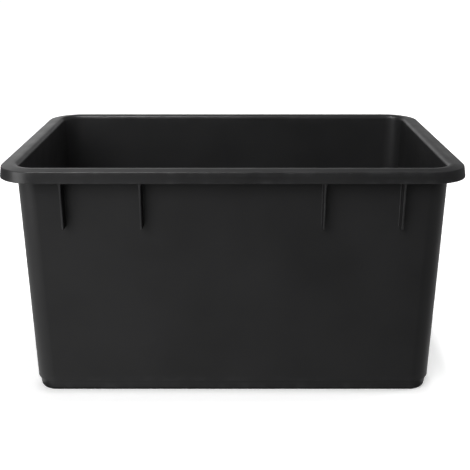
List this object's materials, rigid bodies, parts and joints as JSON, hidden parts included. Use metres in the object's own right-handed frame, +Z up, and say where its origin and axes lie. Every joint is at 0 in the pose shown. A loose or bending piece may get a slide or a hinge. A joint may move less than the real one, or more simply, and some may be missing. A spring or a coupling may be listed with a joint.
{
  "type": "harvest tub",
  "caption": "Open rectangular harvest tub moulded in thin plastic, with tapered walls, a stepped foot and a wide overhanging rim braced by ribs, for holding and carrying picked fruit.",
  "frame": {"origin": "under the middle of the floor, on the surface the tub stands on", "axes": "+X along the tub, towards its right end seen from the front; +Y towards its rear; +Z up"},
  "size_m": [0.5998, 0.3998, 0.32],
  "materials": {
    "black_plastic": "satin black, fine moulded grain"
  },
  "bodies": {
    "root": {"floor_panel": "black_plastic", "front_base_edge": "black_plastic", "front_left_base_corner": "black_plastic", "front_left_rim_corner": "black_plastic", "front_left_wall_corner": "black_plastic", "front_rib_1": "black_plastic", "front_rib_2": "black_plastic", "front_rib_3": "black_plastic", "front_rib_4": "black_plastic", "front_right_base_corner": "black_plastic", "front_right_rim_corner": "black_plastic", "front_right_wall_corner": "black_plastic", "front_rim": "black_plastic", "front_wall": "black_plastic", "left_base_edge": "black_plastic", "left_rim": "black_plastic", "left_wall": "black_plastic", "rear_base_edge": "black_plastic", "rear_left_base_corner": "black_plastic", "rear_left_rim_corner": "black_plastic", "rear_left_wall_corner": "black_plastic", "rear_rib_1": "black_plastic", "rear_rib_2": "black_plastic", "rear_rib_3": "black_plastic", "rear_rib_4": "black_plastic", "rear_right_base_corner": "black_plastic", "rear_right_rim_corner": "black_plastic", "rear_right_wall_corner": "black_plastic", "rear_rim": "black_plastic", "rear_wall": "black_plastic", "right_base_edge": "black_plastic", "right_rim": "black_plastic", "right_wall": "black_plastic"}
  },
  "joints": []
}
